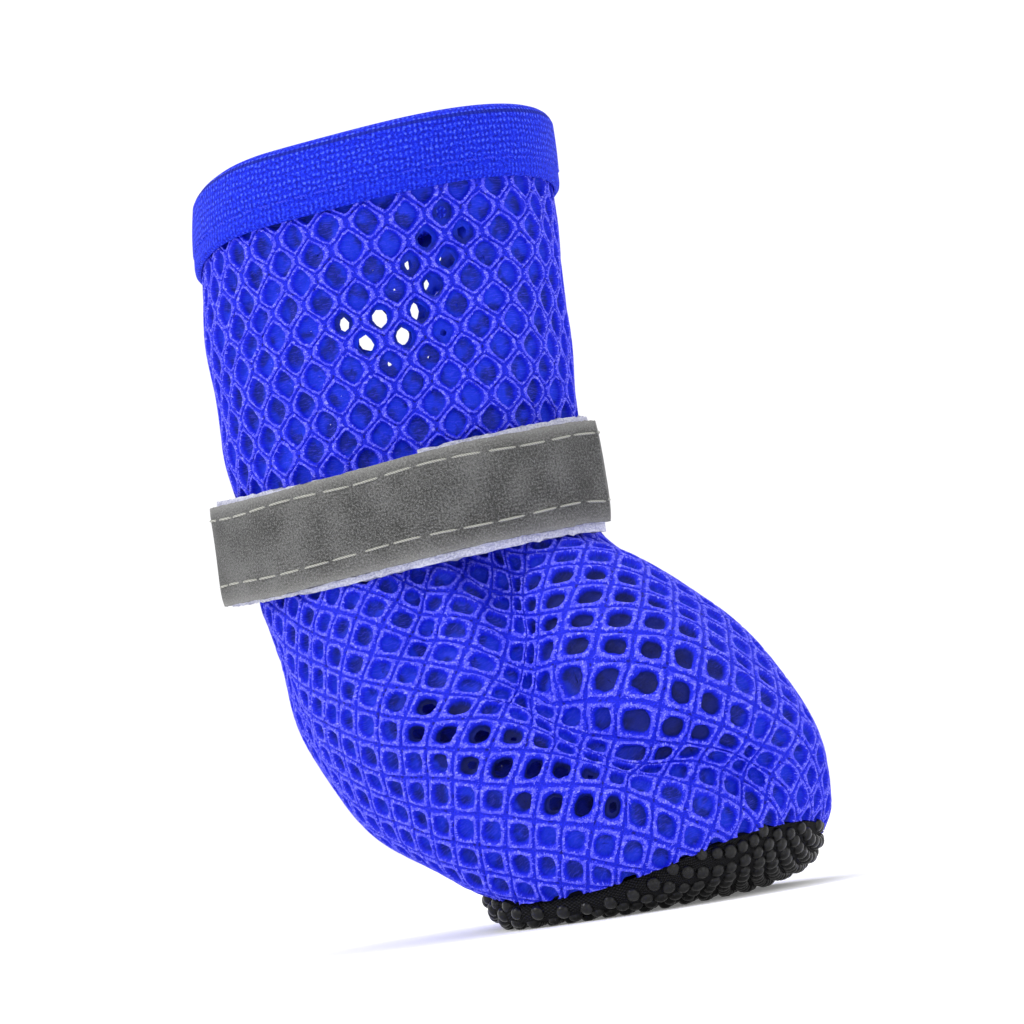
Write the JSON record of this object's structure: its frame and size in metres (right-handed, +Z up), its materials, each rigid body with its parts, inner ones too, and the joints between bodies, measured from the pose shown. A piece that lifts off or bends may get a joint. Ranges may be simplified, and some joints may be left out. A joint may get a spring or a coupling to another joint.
{
  "type": "dog boot",
  "caption": "Soft slip-on dog boot: open-mesh sock upper with a bound collar, wrap strap with a reflective face and a dotted fabric sole.",
  "frame": {"origin": "middle of the boot's footprint, on the floor that it stands on", "axes": "+X toward the toe, +Y toward the boot's left side, +Z up the shaft"},
  "size_m": [0.091, 0.059, 0.1207],
  "materials": {
    "mesh": "open knitted spacer mesh, royal blue, slight sheen",
    "binding": "fine ribbed woven binding, royal blue",
    "tape": "coated reflective tape, grey, softly metallic",
    "backing": "brushed hook and loop tape, off-white",
    "dotted_fabric": "black knit with small glossy rubber dots",
    "lining": "black lining cloth, matt"
  },
  "bodies": {
    "root": {"upper": "mesh", "collar_binding": "binding", "strap_tape": "tape", "strap_backing": "backing", "outsole": "dotted_fabric", "insole": "lining"}
  },
  "joints": []
}
